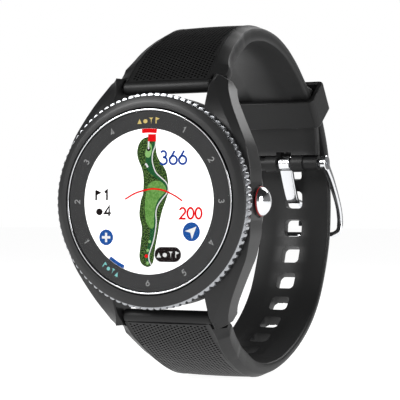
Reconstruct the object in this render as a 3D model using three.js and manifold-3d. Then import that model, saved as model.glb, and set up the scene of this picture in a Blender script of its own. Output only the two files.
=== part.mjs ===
// Golf GPS watch, buckled: case, display, button, two strap halves, keeper and pin buckle.
//
// Millimetres. The origin is the centre of the flat case back. The watch looks towards -Y, 12 o'clock is
// up (+Z), the button is at 3 o'clock (+X), and the strap loop closes behind the case, towards +Y.
import * as THREE from 'three';
import { mergeVertices } from 'three/addons/utils/BufferGeometryUtils.js';
import Module from 'manifold-3d';

const wasm = await Module();
wasm.setup();

// ---------------------------------------------------------------- driving dimensions
const ROUND = 48; // facets round the large rings
const SMALL_ROUND = 16; // facets round pins and bores
const GAP = 0.3; // clearance between neighbouring pieces

const CASE_R = 22.9; // largest radius of the mid case
const CASE_FRONT = -9.0; // front deck of the mid case
const CAVITY_R = 17.6; // room for the electronics
const RECESS_R = 21.0; // recess for the case back
const BACK_R = RECESS_R - 0.2;
const BACK_THICKNESS = 1.2;
const SCREW_CIRCLE_R = 19.8;
const SCREW_HEAD_R = 0.85;

const BEZEL_OUTER_R = 22.55;
const BEZEL_INNER_R = 20.2;
const BEZEL_NECK_R = 20.9;
const BEZEL_FRONT = -12.2; // inner edge of the sloping front face
const BEZEL_RIM = -11.6; // outer edge of the sloping front face
const BEZEL_UNDER = -11.0;

const COIN_INNER_R = BEZEL_NECK_R + GAP;
const COIN_ROOT_R = 22.95;
const COIN_TIP_R = 23.4;
const COIN_TEETH = 90;
const COIN_BACK = CASE_FRONT - GAP;
const COIN_FRONT = BEZEL_UNDER + 0.1;

const TRIM_INNER_R = 19.55;
const TRIM_OUTER_R = 19.9;
const GLASS_R = TRIM_INNER_R - 0.2;
const GLASS_FRONT = -12.15;
const GLASS_BACK = -11.65;
const DIAL_INNER_R = 15.65;
const DIAL_FRONT = -11.5;
const DIAL_BACK = -11.0;
const DISPLAY_R = 15.45;
const DISPLAY_BACK = -9.2; // behind the dial ring, down to the holder

const BUTTON_Y = -4.4;
const BUTTON_R = 3.1;
const BUTTON_FACE_X = 23.5;
const BUTTON_CROWN = 1.7;
const BUTTON_TRAVEL = 0.6;

const LUG_GAP = 11.15; // half the distance between a pair of lugs
const LUG_TIP_Z = 27.6;
const BAR_Y = -2.2; // lug spring bar
const BAR_Z = 25.0;

const STRAP_ROLL_R = 1.55; // strap end round the lug spring bar
const TONGUE_HALF = 10.85; // strap between the lugs
const STRAP_SHOULDER_HALF = 13.1; // strap just outside the lug tips
const STRAP_BACK_HALF = 9.6;
const STRAP_LUG_THICK = 4.2;
const SHORT_END_THICK = 2.8;
const LONG_END_THICK = 2.6;

const BEND_Y = 40.3; // centre of the round bend under the keeper
const BEND_Z = 9.6;
const BEND_INNER_R = 22.9; // inside of the short strap in that bend
const KEEPER_TILT = 37; // degrees above +Y
const KEEPER_LENGTH = 7.9;
const KEEPER_WALL = 1.25;

const HOLE_PITCH = 7.8; // along the outer face
const HOLE_WIDTH = 4.8;
const HOLE_LENGTH = 4.5;
const HOLES_ABOVE_TANG = 2;
const HOLES_BELOW_TANG = 7;
const TANG_HOLE_Z = 1.0;

const BUCKLE_Y = 64.3; // buckle spring bar
const BUCKLE_Z = 10.5;
const BUCKLE_ROLL_R = 2.25;
const ARM_INNER_X = 10.05;
const ARM_OUTER_X = 11.5;
const TANG_WIDTH = 3.4;
const TANG_SLOT = 4.2;

const degrees = Math.PI / 180;

// ---------------------------------------------------------------- materials
function metal(color, roughness) {
  return new THREE.MeshStandardMaterial({ color, roughness, metalness: 1 });
}
function plastic(color, roughness) {
  return new THREE.MeshStandardMaterial({ color, roughness, metalness: 0 });
}
const casePlastic = plastic(0x3c3d3f, 0.5);
const chrome = metal(0xe6e7ea, 0.1);
const steel = metal(0xb4b6ba, 0.35);
const strapRubber = plastic(0x333435, 0.6);

// ---------------------------------------------------------------- solids
// A closed solid from any closed geometry: shared corners merged, empty triangles dropped, faces out.
function toSolid(geometry) {
  const bare = geometry.clone();
  bare.deleteAttribute('normal');
  bare.deleteAttribute('uv');
  const merged = mergeVertices(bare, 1e-4);
  const position = merged.attributes.position;
  const index = merged.index.array;
  const triangles = [];
  let volume = 0;
  const corners = [new THREE.Vector3(), new THREE.Vector3(), new THREE.Vector3()];
  for (let i = 0; i < index.length; i += 3) {
    const [a, b, c] = index.slice(i, i + 3);
    if (a === b || b === c || c === a) continue;
    triangles.push(a, b, c);
    corners[0].fromBufferAttribute(position, a);
    corners[1].fromBufferAttribute(position, b);
    corners[2].fromBufferAttribute(position, c);
    volume += corners[0].dot(corners[1].cross(corners[2]));
  }
  if (volume < 0) triangles.reverse();
  return new wasm.Manifold(new wasm.Mesh({
    numProp: 3,
    vertProperties: new Float32Array(position.array),
    triVerts: new Uint32Array(triangles),
  }));
}

function toGeometry(solid) {
  const mesh = solid.asOriginal().simplify(0.002).getMesh();
  const geometry = new THREE.BufferGeometry();
  geometry.setAttribute('position', new THREE.BufferAttribute(mesh.vertProperties, 3));
  geometry.setIndex(new THREE.BufferAttribute(mesh.triVerts, 1));
  geometry.computeVertexNormals();
  return geometry;
}

// Turned about the Y axis from (radius, y) corners.
function turned(corners, segments = ROUND) {
  const points = corners.map(([r, y]) => new THREE.Vector2(r, y));
  if (corners[0][0] > 0) points.push(points[0].clone());
  return toSolid(new THREE.LatheGeometry(points, segments));
}

function ring(innerR, outerR, y0, y1, segments = ROUND) {
  return turned([[innerR, y0], [outerR, y0], [outerR, y1], [innerR, y1]], segments);
}

function disc(r, y0, y1, segments = ROUND) {
  return turned([[0, y0], [r, y0], [r, y1], [0, y1]], segments);
}

function box(x0, x1, y0, y1, z0, z1) {
  const geometry = new THREE.BoxGeometry(x1 - x0, y1 - y0, z1 - z0);
  geometry.translate((x0 + x1) / 2, (y0 + y1) / 2, (z0 + z1) / 2);
  return toSolid(geometry);
}

// A rod along X between x0 and x1.
function rodX(r, x0, x1, y, z, segments = SMALL_ROUND) {
  const geometry = new THREE.CylinderGeometry(r, r, x1 - x0, segments);
  geometry.rotateZ(Math.PI / 2);
  geometry.translate((x0 + x1) / 2, y, z);
  return toSolid(geometry);
}

// A rod along Y between y0 and y1.
function rodY(r, y0, y1, x, z, segments = SMALL_ROUND) {
  const geometry = new THREE.CylinderGeometry(r, r, y1 - y0, segments);
  geometry.translate(x, (y0 + y1) / 2, z);
  return toSolid(geometry);
}

// An outline of (y, z) corners, extruded along X from x0 to x1.
function plateX(corners, x0, x1) {
  const shape = new THREE.Shape(corners.map(([y, z]) => new THREE.Vector2(y, z)));
  const geometry = new THREE.ExtrudeGeometry(shape, { depth: x1 - x0, bevelEnabled: false });
  const axes = new THREE.Matrix4().makeBasis(
    new THREE.Vector3(0, 1, 0),
    new THREE.Vector3(0, 0, 1),
    new THREE.Vector3(1, 0, 0),
  );
  geometry.applyMatrix4(axes);
  geometry.translate(x0, 0, 0);
  return toSolid(geometry);
}

// A ring of round section about the Y axis.
function torusY(ringR, sectionR, y) {
  const geometry = new THREE.TorusGeometry(ringR, sectionR, 6, ROUND);
  geometry.rotateX(Math.PI / 2);
  geometry.translate(0, y, 0);
  return toSolid(geometry);
}

function roundedRectangle(width, height, radius, facets) {
  const shape = new THREE.Shape();
  const x = width / 2 - radius;
  const y = height / 2 - radius;
  const centres = [[x, y], [-x, y], [-x, -y], [x, -y]];
  const points = [];
  centres.forEach(([cx, cy], quarter) => {
    for (let i = 0; i <= facets; i++) {
      const angle = (quarter + i / facets) * 90 * degrees;
      points.push(new THREE.Vector2(cx + radius * Math.cos(angle), cy + radius * Math.sin(angle)));
    }
  });
  return shape.setFromPoints(points);
}

function mirrorX(solid) {
  return solid.mirror([1, 0, 0]);
}

function mirrorZ(solid) {
  return solid.mirror([0, 0, 1]);
}

// ---------------------------------------------------------------- the assembly
const watch = new THREE.Group();

function addPart(name, solid, material) {
  const mesh = new THREE.Mesh(toGeometry(solid), material);
  mesh.name = name;
  watch.add(mesh);
}

// ---------------------------------------------------------------- mid case and lugs
// One lug (+X, +Z): a faceted bar whose section changes from the case to the tip.
const lugSections = [
  // height z, inner front y, front facet's outer x and y, side facet's front x and y, its back y, inner corner
  [0, -8.95, 20.4, -8.75, 22.6, -8.45, -2.4, 0.3],
  [7, -8.95, 20.3, -8.75, 22.5, -8.45, -2.5, 0.3],
  [12, -8.95, 19.4, -8.75, 21.5, -8.4, -3.0, 0.3],
  [16, -8.75, 17.6, -8.4, 19.6, -7.8, -2.9, 0.3],
  [20, -7.75, 15.3, -7.15, 17.5, -6.55, -1.9, 0.3],
  [24, -5.9, 12.9, -5.15, 15.45, -4.3, 0.3, 0.3],
  [26.2, -4.7, 12.1, -4.3, 14.6, -2.4, 1.4, 0.75],
  [LUG_TIP_Z + 0.1, -3.55, 12.7, -3.05, 14.2, -0.7, 1.4, 1.4],
];

function lugCorners([, front, facetX, facetY, outer, outerY, sideBack, corner]) {
  const back = Math.max(1.1, sideBack + 0.3);
  return [
    [LUG_GAP, front + corner * 1.2],
    [LUG_GAP + corner, front],
    [facetX, facetY],
    [outer, outerY],
    [outer, sideBack],
    [Math.max(outer - 0.7 * (back - sideBack), LUG_GAP + 0.6), back],
    [LUG_GAP, back],
  ];
}

// The lugs' slanted ends, seen along X.
const lugEndLine = [[-20, 27.66], [-4, 27.6], [-1, 27.2], [1.0, 24.5], [2.6, 22.4]];

// All that lies beyond that line, moved off it by a gap.
function beyondLugEnd(gap) {
  const line = lugEndLine.map(([y, z], i) => [y + (i > 2 ? gap : 0), z + gap]);
  return plateX([...line, [30, line.at(-1)[1]], [30, 60], [-20, 60]], -40, 40);
}

function lug() {
  const levels = lugSections.length - 1;
  const start = lugCorners(lugSections[0]);
  const shape = new THREE.Shape(start.map(([x, y]) => new THREE.Vector2(x, y)));
  const bar = new THREE.ExtrudeGeometry(shape, { depth: levels, steps: levels, bevelEnabled: false });
  const position = bar.attributes.position;
  for (let i = 0; i < position.count; i++) {
    const level = Math.round(position.getZ(i));
    const corner = start.findIndex(
      ([x, y]) => Math.hypot(x - position.getX(i), y - position.getY(i)) < 1e-4,
    );
    const [x, y] = lugCorners(lugSections[level])[corner];
    position.setXYZ(i, x, y, lugSections[level][0]);
  }
  return toSolid(bar);
}

function midCase() {
  const body = turned([
    [CAVITY_R, -7.6],
    [16.9, -7.6],
    [16.9, CASE_FRONT],
    [CASE_R - 0.1, CASE_FRONT],
    [CASE_R, CASE_FRONT + 0.3],
    [CASE_R, -2.4],
    [CASE_R - 0.9, 0],
    [RECESS_R, 0],
    [RECESS_R, -BACK_THICKNESS - 0.2],
    [18.75, -BACK_THICKNESS - 0.2],
    [18.75, -2.3],
    [17.85, -2.3],
    [17.85, -BACK_THICKNESS - 0.2],
    [CAVITY_R, -BACK_THICKNESS - 0.2],
  ]);
  const bore = disc(RECESS_R, -BACK_THICKNESS - 0.2, 3).add(disc(CAVITY_R, -7.6, 0)).add(disc(16.9, -20, 0));
  const corner = lug().subtract(bore).subtract(beyondLugEnd(0));
  let shell = body;
  for (const horn of [corner, mirrorX(corner), mirrorZ(corner), mirrorX(mirrorZ(corner))]) {
    shell = shell.add(horn);
  }
  shell = shell.subtract(ring(17.85, 18.75, -2.3, 0));
  for (const z of [BAR_Z, -BAR_Z]) {
    shell = shell.subtract(rodX(0.65, -12.7, 12.7, BAR_Y, z));
  }
  for (const angle of screwAngles) {
    const x = SCREW_CIRCLE_R * Math.cos(angle);
    const z = SCREW_CIRCLE_R * Math.sin(angle);
    shell = shell.subtract(rodY(0.65, -5, 0, x, z, 16));
  }
  const buttonSeat = rodX(BUTTON_R + 0.4, BUTTON_FACE_X - BUTTON_TRAVEL - 0.5, 30, BUTTON_Y, 0, 36);
  const buttonBore = rodX(1.3, CAVITY_R - 2, 30, BUTTON_Y, 0);
  return shell.subtract(buttonSeat).subtract(buttonBore);
}

const screwAngles = [50, 130, 230, 310].map((angle) => angle * degrees);
addPart('mid_case', midCase(), casePlastic);

// ---------------------------------------------------------------- bezel, coin edge, trim
addPart('bezel', turned([
  [BEZEL_INNER_R, COIN_BACK],
  [BEZEL_NECK_R, COIN_BACK],
  [BEZEL_NECK_R, BEZEL_UNDER],
  [BEZEL_OUTER_R, BEZEL_UNDER],
  [BEZEL_OUTER_R, BEZEL_RIM + 0.1],
  [BEZEL_OUTER_R - 0.15, BEZEL_RIM],
  [BEZEL_INNER_R + 0.15, BEZEL_FRONT],
  [BEZEL_INNER_R, BEZEL_FRONT + 0.1],
]), casePlastic);

function coinRing() {
  const shape = new THREE.Shape();
  const points = [];
  for (let tooth = 0; tooth < COIN_TEETH; tooth++) {
    for (const [share, r] of [[0, COIN_ROOT_R], [0.5, COIN_TIP_R]]) {
      const angle = ((tooth + share) / COIN_TEETH) * 2 * Math.PI;
      points.push(new THREE.Vector2(r * Math.cos(angle), r * Math.sin(angle)));
    }
  }
  shape.setFromPoints(points);
  const toothed = new THREE.ExtrudeGeometry(shape, { depth: COIN_BACK - COIN_FRONT, bevelEnabled: false });
  toothed.rotateX(Math.PI / 2);
  toothed.translate(0, COIN_BACK, 0);
  return toSolid(toothed).subtract(disc(COIN_INNER_R, COIN_FRONT - 1, COIN_BACK + 1));
}
addPart('coin_edge_ring', coinRing(), chrome);
addPart('trim_ring', ring(TRIM_INNER_R, TRIM_OUTER_R, -12.3, COIN_BACK), chrome);

// ---------------------------------------------------------------- glass, dial, display
addPart('cover_glass', turned([
  [0, GLASS_FRONT],
  [GLASS_R - 0.2, GLASS_FRONT],
  [GLASS_R, GLASS_FRONT + 0.2],
  [GLASS_R, GLASS_BACK],
  [0, GLASS_BACK],
]), new THREE.MeshStandardMaterial({ color: 0xdfe6ec, roughness: 0.05, metalness: 0, opacity: 0.3 }));
addPart('dial_ring', ring(DIAL_INNER_R, GLASS_R, DIAL_FRONT, DIAL_BACK), plastic(0x3a3a3b, 0.55));
addPart('display_panel', disc(DISPLAY_R, DIAL_FRONT, DISPLAY_BACK), plastic(0xf4f6f6, 0.3));
addPart('display_holder', turned([
  [DISPLAY_R + 0.2, DIAL_BACK + 0.2],
  [GLASS_R, DIAL_BACK + 0.2],
  [GLASS_R, COIN_BACK],
  [16.6, COIN_BACK],
  [16.6, -8.3],
  [13.5, -8.3],
  [13.5, -8.9],
  [DISPLAY_R + 0.2, -8.9],
]), plastic(0x1c1d1e, 0.6));

// ---------------------------------------------------------------- electronics
addPart('circuit_board', disc(16.4, -7.4, -6.6).subtract(box(-4, 4, -8, -6, 15.2, 18)), plastic(0x1f5c3a, 0.5));
addPart('chassis', turned([
  [17.3, -6.4],
  [17.3, -1.6],
  [16.4, -1.6],
  [16.4, -5.6],
  [4, -5.6],
  [4, -6.4],
]).subtract(rodX(2.3, 10, 20, BUTTON_Y, 0)), plastic(0x232425, 0.6));

function battery() {
  const outline = roundedRectangle(23, 18, 2.5, 4);
  const cell = new THREE.ExtrudeGeometry(outline, { depth: 3.4, bevelEnabled: false });
  cell.rotateX(Math.PI / 2);
  cell.translate(0, -1.7, 0);
  return toSolid(cell);
}
addPart('battery', battery(), plastic(0xb9bcc0, 0.4));
addPart('processor_shield', box(-6, 5, -8.2, -7.55, -6, 6), steel);
addPart('satellite_antenna', box(-4.5, 4.5, -8.2, -7.55, 7, 12.5), plastic(0xcfc8b4, 0.5));
addPart('vibration_motor', rodY(3.1, -5.45, -2.6, 0, -12.8, 32), steel);
addPart('tactile_switch', box(13.6, 15.25, -5.5, -3.2, -1.5, 1.5), plastic(0x151515, 0.5));

// The flat ribbon from the display's lower edge to the board.
addPart('display_ribbon', plateX([
  [-9.05, -9], [-9.05, -12.6], [-7.5, -12.6], [-7.5, -12.2], [-8.75, -12.2], [-8.75, -9],
], -4, 4), plastic(0xc07a2a, 0.5));

// ---------------------------------------------------------------- case back
function caseBack() {
  let plate = turned([
    [0, 0],
    [18.2, 0],
    [BACK_R, -0.35],
    [BACK_R, -BACK_THICKNESS],
    [0, -BACK_THICKNESS],
  ]);
  for (const angle of screwAngles) {
    const x = SCREW_CIRCLE_R * Math.cos(angle);
    const z = SCREW_CIRCLE_R * Math.sin(angle);
    plate = plate.subtract(rodY(0.65, -3, 3, x, z, 16)).subtract(rodY(SCREW_HEAD_R + 0.1, -0.75, 3, x, z));
  }
  for (const x of contactX) {
    plate = plate.subtract(rodY(0.95, -3, 3, x, CONTACT_Z));
  }
  return plate;
}
const contactX = [-4.2, -1.4, 1.4, 4.2];
const CONTACT_Z = -11.5;
addPart('case_back', caseBack(), metal(0x55575a, 0.4));
screwAngles.forEach((angle, i) => {
  const x = SCREW_CIRCLE_R * Math.cos(angle);
  const z = SCREW_CIRCLE_R * Math.sin(angle);
  const screw = rodY(SCREW_HEAD_R, -0.7, -0.25, x, z).add(rodY(0.5, -4.2, -0.5, x, z, 16));
  addPart(`back_screw_${i + 1}`, screw, steel);
});
contactX.forEach((x, i) => {
  addPart(`charge_contact_${i + 1}`, rodY(0.75, -1.5, -0.1, x, CONTACT_Z), metal(0xd9b45a, 0.25));
});
addPart('back_seal', torusY(18.3, 0.33, -1.8), plastic(0x101010, 0.8));

// ---------------------------------------------------------------- button
function buttonCap() {
  const dome = [[0, BUTTON_CROWN], [1.0, 1.59], [1.75, 1.34], [2.4, 0.95], [2.85, 0.5], [BUTTON_R, 0.05]];
  const profile = [...dome, [BUTTON_R, 0], [BUTTON_R - 0.1, -0.05], [1.2, -0.05], [1.2, 0.35], [0, 0.35]];
  const points = profile.map(([r, y]) => new THREE.Vector2(r, y));
  const cap = new THREE.LatheGeometry(points, 32);
  cap.rotateZ(-Math.PI / 2);
  cap.translate(BUTTON_FACE_X, BUTTON_Y, 0);
  return toSolid(cap);
}
addPart('button_cap', buttonCap(), chrome);

function ringX(innerR, outerR, x0, x1, segments = 36) {
  return rodX(outerR, x0, x1, BUTTON_Y, 0, segments).subtract(rodX(innerR, x0 - 1, x1 + 1, BUTTON_Y, 0, segments));
}
addPart('button_accent_ring', ringX(2.4, 3.2, BUTTON_FACE_X - 0.4, BUTTON_FACE_X - 0.07), plastic(0x8a0f12, 0.4));

const STEM_INNER_X = 15.9;
function buttonStem() {
  const shaft = rodX(1.0, STEM_INNER_X, BUTTON_FACE_X + 0.3, BUTTON_Y, 0);
  const sealGroove = ringX(0.7, 1.4, 19.2, 20.2, SMALL_ROUND);
  const clipGroove = ringX(0.7, 1.4, 16.5, 17.0, SMALL_ROUND);
  return shaft.subtract(sealGroove).subtract(clipGroove);
}
addPart('button_stem', buttonStem(), steel);

function torusX(ringR, sectionR, x) {
  const geometry = new THREE.TorusGeometry(ringR, sectionR, 8, SMALL_ROUND);
  geometry.rotateY(Math.PI / 2);
  geometry.translate(x, BUTTON_Y, 0);
  return toSolid(geometry);
}
addPart('button_seal', torusX(0.98, 0.22, 19.7), plastic(0x101010, 0.8));
addPart('button_clip', ringX(0.78, 1.75, 16.6, 16.9, SMALL_ROUND), steel);

// The return spring stands between the seat in the case and the cap, round the stem.
const SPRING_SEAT_X = BUTTON_FACE_X - BUTTON_TRAVEL - 0.5;
class Coil extends THREE.Curve {
  getPoint(t, target = new THREE.Vector3()) {
    const angle = t * 2 * Math.PI * 2.5;
    const x = SPRING_SEAT_X + 0.2 + t * 0.55;
    return target.set(x, BUTTON_Y + 1.9 * Math.cos(angle), 1.9 * Math.sin(angle));
  }
}
function coilSpring() {
  const wire = new THREE.Shape();
  wire.absarc(0, 0, 0.09, 0, 2 * Math.PI);
  const options = { extrudePath: new Coil(), steps: 48, bevelEnabled: false, curveSegments: 3 };
  return toSolid(new THREE.ExtrudeGeometry(wire, options));
}
addPart('button_spring', coilSpring(), steel);

// ---------------------------------------------------------------- straps
// A strap's outer face follows a curve in the Y-Z plane. side is +1 for the strap at 12 o'clock, whose
// outside is to the left of its run, and -1 for the one at 6 o'clock.
const shortOuter = new THREE.CatmullRomCurve3([
  [-3.4, 26.15], [-2.6, 27.0], [-0.2, 29.4], [2.3, 31.85], [5.0, 34.1], [7.1, 35.5], [9.8, 36.95],
  [13.2, 38.6], [17.8, 40.3], [23.4, 41.2], [29.6, 41.2], [36.0, 40.3], [42.3, 38.3], [47.6, 35.6],
  ...bendArc([62, 40, 20], SHORT_END_THICK), [65.5, 14.2], [65.3, BUCKLE_Z],
].map(([y, z]) => new THREE.Vector3(0, y, z)));

const longOuter = new THREE.CatmullRomCurve3([
  [-3.4, -26.2], [-2.6, -27.0], [-0.3, -29.05], [2.3, -31.2], [4.9, -33.05], [7.4, -34.6], [9.8, -35.95],
  [14.4, -38.1], [20.0, -39.9], [26.8, -40.6], [34.6, -39.9], [42.7, -38.0], [50.9, -34.8], [58.4, -30.2],
  [64.3, -24.3], [68.4, -17.1], [71.2, -9.5], [72.1, -2.0], [71.9, 5.0], [70.9, 11.4], [68.9, 17.0],
  ...bendArc([28, 40, 50], SHORT_END_THICK + GAP + LONG_END_THICK),
].map(([y, z]) => new THREE.Vector3(0, y, z)));

// Points on the bend under the keeper, at angles above +Y, a given height outside its inner face.
function bendArc(angles, height) {
  const r = BEND_INNER_R + height;
  return angles.map((angle) => [BEND_Y + r * Math.cos(angle * degrees), BEND_Z + r * Math.sin(angle * degrees)]);
}

// Share of the run along a strap curve, measured from its lug end, where it passes a given height.
function shareAtHeight(curve, z, firstShare) {
  const rising = curve.getPointAt(firstShare).z < z;
  let share = firstShare;
  while (share < 1 && curve.getPointAt(share).z < z === rising) {
    share += 0.0005;
  }
  return share;
}

function frameAt(curve, side, share) {
  const point = curve.getPointAt(share);
  const run = curve.getTangentAt(share);
  const outward = new THREE.Vector3(0, -run.z * side, run.y * side);
  return { point, run, outward };
}

function bentBar(curve, side, from, to, steps, section, halfWidth, thickness) {
  const shape = new THREE.Shape(section.map(([across, depth]) => new THREE.Vector2(across, depth)));
  const bar = new THREE.ExtrudeGeometry(shape, { depth: 1, steps, bevelEnabled: false });
  const position = bar.attributes.position;
  const corner = new THREE.Vector3();
  for (let i = 0; i < position.count; i++) {
    const share = from + (to - from) * position.getZ(i);
    const { point, outward } = frameAt(curve, side, share);
    corner.copy(point).addScaledVector(outward, -position.getY(i) * thickness(share));
    corner.x = position.getX(i) * halfWidth(share);
    position.setXYZ(i, corner.x, corner.y, corner.z);
  }
  return toSolid(bar);
}

// Linear between (share, value) pairs.
function ramp(pairs) {
  return (share) => {
    let last = pairs[0];
    for (const next of pairs) {
      if (share <= next[0]) {
        if (next === last) return next[1];
        const t = (share - last[0]) / (next[0] - last[0]);
        return last[1] + (next[1] - last[1]) * t;
      }
      last = next;
    }
    return last[1];
  };
}

const strapSection = [[-1, 1], [-1, 0.14], [-0.96, 0], [0, -0.08], [0.96, 0], [1, 0.14], [1, 1]];

// The roll at the end of a strap, round the spring bar. It sits a little beyond the bar.
function lugRoll(side) {
  return rodX(STRAP_ROLL_R, -TONGUE_HALF, TONGUE_HALF, BAR_Y, (BAR_Z + 0.25) * side, 24);
}

// The space of the lugs and the case, which narrows the strap to a tongue between the lugs.
function clearOfCase(side) {
  const line = lugEndLine.map(([y, z], i) => [y + (i > 2 ? 0.35 : 0), z + 0.35]);
  const outline = [[-20, 0], ...line, [2.95, 0]];
  const flank = plateX(outline, TONGUE_HALF - 0.35, 30);
  const flanks = flank.add(mirrorX(flank));
  return disc(CASE_R + 0.5, -20, 1.2).add(side > 0 ? flanks : mirrorZ(flanks));
}

function shortStrap() {
  const side = 1;
  const halfWidth = ramp([
    [0.05, STRAP_SHOULDER_HALF], [0.067, 12.9], [0.089, 12.27], [0.111, 11.86], [0.156, 11.37], [0.2, 11.0],
    [0.245, 10.5], [0.3, 10.25], [0.6, 9.75], [0.87, STRAP_BACK_HALF], [0.94, 9.2], [1, 9.15],
  ]);
  const thickness = ramp([
    [0, 3.0], [0.1, STRAP_LUG_THICK], [0.24, STRAP_LUG_THICK], [0.4, 3.4], [0.7, SHORT_END_THICK],
    [1, SHORT_END_THICK],
  ]);
  let strap = bentBar(shortOuter, side, 0.006, 0.985, 44, strapSection, halfWidth, thickness);
  strap = strap.subtract(clearOfCase(side)).add(lugRoll(side));
  const roll = rodX(BUCKLE_ROLL_R, -9.15, 9.15, BUCKLE_Y, BUCKLE_Z, 32);
  const slot = box(-TANG_SLOT / 2, TANG_SLOT / 2, BUCKLE_Y - 5, BUCKLE_Y + 5, BUCKLE_Z - 5, BUCKLE_Z + 2.9);
  return strap.add(roll)
    .subtract(slot)
    .subtract(rodX(1.05, -20, 20, BUCKLE_Y, BUCKLE_Z))
    .subtract(rodX(1.0, -20, 20, BAR_Y, BAR_Z));
}

function strapHole(share) {
  const { point, run, outward } = frameAt(longOuter, -1, share);
  const outline = roundedRectangle(HOLE_WIDTH, HOLE_LENGTH, 1.1, 2);
  const hole = new THREE.ExtrudeGeometry(outline, { depth: 12, bevelEnabled: false });
  hole.translate(0, 0, -6);
  const axes = new THREE.Matrix4().makeBasis(new THREE.Vector3(1, 0, 0), run, outward.clone());
  axes.setPosition(point);
  hole.applyMatrix4(axes);
  return toSolid(hole);
}

function longStrap() {
  const side = -1;
  const length = longOuter.getLength();
  const tipLength = 5;
  const taper = ramp([
    [0.036, STRAP_SHOULDER_HALF], [0.051, 12.76], [0.073, 12.21], [0.102, 11.75], [0.117, 11.35],
    [0.153, 11.0], [0.2, 10.75], [0.27, 10.4], [0.38, 10.1], [0.57, 9.7], [1, STRAP_BACK_HALF],
  ]);
  const halfWidth = (share) => {
    const intoTip = Math.max(0, share - (1 - tipLength / length)) * length / tipLength;
    return taper(share) * Math.sqrt(1 - 0.8 * intoTip * intoTip);
  };
  const thickness = ramp([
    [0, 3.0], [0.06, STRAP_LUG_THICK], [0.16, STRAP_LUG_THICK], [0.26, 3.0], [0.34, 2.4], [0.76, 2.4],
    [0.86, LONG_END_THICK], [1, LONG_END_THICK],
  ]);
  let strap = bentBar(longOuter, side, 0.004, 1, 60, strapSection, halfWidth, thickness);
  strap = strap.subtract(clearOfCase(side)).add(lugRoll(side));
  const tangHole = shareAtHeight(longOuter, TANG_HOLE_Z, 0.5);
  for (let i = -HOLES_BELOW_TANG; i <= HOLES_ABOVE_TANG; i++) {
    strap = strap.subtract(strapHole(tangHole + (i * HOLE_PITCH) / length));
  }
  return strap.subtract(rodX(1.0, -20, 20, BAR_Y, -BAR_Z));
}

addPart('strap_short', shortStrap(), strapRubber);
addPart('strap_long', longStrap(), strapRubber);

// ---------------------------------------------------------------- keeper
// A square loop round both straps, set across the bend.
function keeper() {
  const innerFace = Math.sqrt((BEND_INNER_R - 0.3) ** 2 - (KEEPER_LENGTH / 2) ** 2);
  const outerFace = BEND_INNER_R + SHORT_END_THICK + GAP + LONG_END_THICK + 1.2;
  const half = STRAP_BACK_HALF + 0.4;
  const loop = box(-half - KEEPER_WALL, half + KEEPER_WALL, innerFace - KEEPER_WALL, outerFace + KEEPER_WALL,
    -KEEPER_LENGTH / 2, KEEPER_LENGTH / 2)
    .subtract(box(-half, half, innerFace, outerFace, -9, 9));
  const geometry = toGeometry(loop);
  geometry.rotateX(KEEPER_TILT * degrees);
  geometry.translate(0, BEND_Y, BEND_Z);
  return toSolid(geometry);
}
addPart('keeper', keeper(), strapRubber);

// ---------------------------------------------------------------- buckle
// Outline of a bar that follows a line of (y, z) points with a width at each.
function barOutline(points) {
  const left = [];
  const right = [];
  points.forEach(([y, z, width], i) => {
    const before = points[Math.max(i - 1, 0)];
    const after = points[Math.min(i + 1, points.length - 1)];
    const run = new THREE.Vector2(after[0] - before[0], after[1] - before[1]).normalize();
    left.push([y - (run.y * width) / 2, z + (run.x * width) / 2]);
    right.unshift([y + (run.y * width) / 2, z - (run.x * width) / 2]);
  });
  return [...left, ...right];
}

const armLine = [
  [BUCKLE_Y, BUCKLE_Z, 3.0], [68.6, 6.6, 1.9], [72.1, 2.3, 1.6], [74.5, -1.5, 1.5], [75.3, -4.4, 1.4],
  [75.0, -6.9, 1.4], [73.9, -8.8, 1.4],
];

// An outline of (x, z) corners cut straight through along Y.
function throughY(shape) {
  const geometry = new THREE.ExtrudeGeometry(shape, { depth: 30, bevelEnabled: false });
  geometry.rotateX(Math.PI / 2);
  geometry.translate(0, 85, 0);
  return geometry;
}

function buckleFrame() {
  const height = 36;
  const middleZ = 2 + height / 2;
  const outline = throughY(roundedRectangle(2 * ARM_OUTER_X, height, 3, 5));
  outline.translate(0, 0, middleZ - 11.2);
  const window = throughY(roundedRectangle(2 * ARM_INNER_X, height, 1.6, 4));
  window.translate(0, 0, middleZ - 9.6);
  const eyes = rodX(1.9, -ARM_OUTER_X, ARM_OUTER_X, BUCKLE_Y, BUCKLE_Z, 24);
  const notch = box(-TANG_SLOT / 2, TANG_SLOT / 2, 75.5, 80, -7, 0);
  return plateX(barOutline(armLine), -ARM_OUTER_X, ARM_OUTER_X)
    .intersect(toSolid(outline))
    .add(eyes)
    .subtract(toSolid(window))
    .subtract(notch)
    .subtract(rodX(0.65, -ARM_OUTER_X + 0.45, ARM_OUTER_X - 0.45, BUCKLE_Y, BUCKLE_Z));
}
addPart('buckle_frame', buckleFrame(), chrome);

function buckleTang() {
  const eye = rodX(1.7, -TANG_WIDTH / 2, TANG_WIDTH / 2, BUCKLE_Y, BUCKLE_Z, 28);
  const shank = plateX(barOutline([
    [64.8, 8.9, 1.2], [66.9, 4.6, 1.2], [69.0, 1.2, 1.2], [71.5, 0.5, 1.2], [73.8, -0.3, 1.2],
    [75.6, -1.8, 1.1], [76.6, -3.8, 1.0], [76.6, -5.8, 0.8],
  ]), -TANG_WIDTH / 2, TANG_WIDTH / 2);
  return eye.add(shank).subtract(rodX(1.0, -5, 5, BUCKLE_Y, BUCKLE_Z));
}
addPart('buckle_tang', buckleTang(), chrome);

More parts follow.
